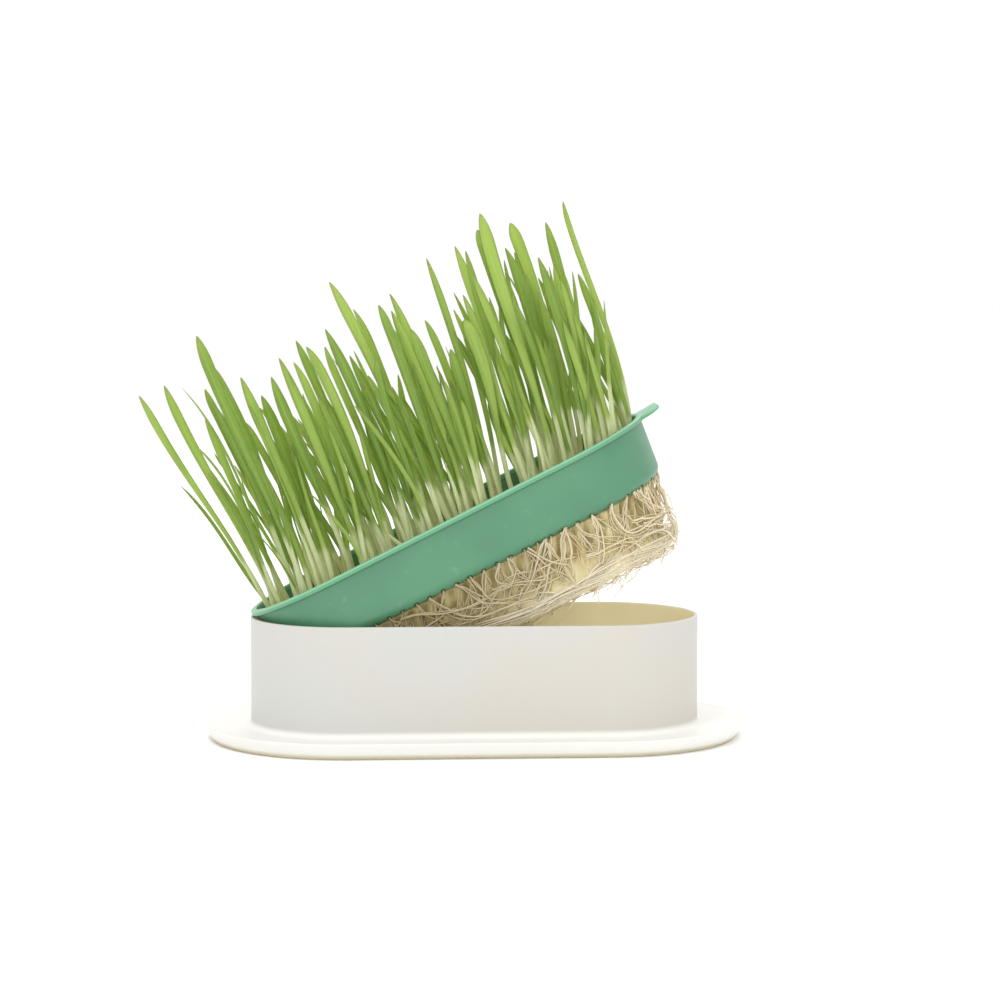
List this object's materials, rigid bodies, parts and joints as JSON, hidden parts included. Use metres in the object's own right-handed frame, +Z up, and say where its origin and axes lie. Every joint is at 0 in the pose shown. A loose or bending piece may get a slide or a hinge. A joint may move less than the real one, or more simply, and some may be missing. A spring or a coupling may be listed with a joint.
{
  "type": "wheatgrass tray",
  "caption": "Wheatgrass growing through a perforated green sprouting tray, tipped up in its stadium-shaped water reservoir with a saucer foot, roots hanging below.",
  "frame": {"origin": "middle of the flat underside of the reservoir base", "axes": "+X along the long side towards the raised end of the sprouting tray with its finger tab, +Y towards the back, +Z up"},
  "size_m": [0.2703, 0.133, 0.2425],
  "materials": {
    "cream_plastic": "satin moulded",
    "green_plastic": "satin moulded",
    "grain": "damp grain husk",
    "root": "damp fibrous",
    "grass": "waxy leaf"
  },
  "bodies": {
    "root": {"reservoir_base": "cream_plastic", "sprouting_tray": "green_plastic", "seed_bed": "grain", "root_mat": "root", "grass_tuft_01": "grass", "grass_tuft_02": "grass", "grass_tuft_03": "grass", "grass_tuft_04": "grass", "grass_tuft_05": "grass", "grass_tuft_06": "grass", "grass_tuft_07": "grass", "grass_tuft_08": "grass", "grass_tuft_09": "grass", "grass_tuft_10": "grass", "grass_tuft_11": "grass", "grass_tuft_12": "grass", "grass_tuft_13": "grass", "grass_tuft_14": "grass", "grass_tuft_15": "grass", "grass_tuft_16": "grass", "grass_tuft_17": "grass", "grass_tuft_18": "grass", "grass_tuft_19": "grass", "grass_tuft_20": "grass", "grass_tuft_21": "grass", "grass_tuft_22": "grass", "grass_tuft_23": "grass", "grass_tuft_24": "grass", "grass_tuft_25": "grass", "grass_tuft_26": "grass", "grass_tuft_27": "grass", "grass_tuft_28": "grass", "grass_tuft_29": "grass", "grass_tuft_30": "grass", "grass_tuft_31": "grass", "grass_tuft_32": "grass", "grass_tuft_33": "grass", "grass_tuft_34": "grass", "grass_tuft_35": "grass", "grass_tuft_36": "grass", "grass_tuft_37": "grass", "grass_tuft_38": "grass", "grass_tuft_39": "grass", "grass_tuft_40": "grass", "grass_tuft_41": "grass", "grass_tuft_42": "grass", "grass_tuft_43": "grass", "grass_tuft_44": "grass", "grass_tuft_45": "grass", "grass_tuft_46": "grass", "grass_tuft_47": "grass", "grass_tuft_48": "grass"}
  },
  "joints": []
}
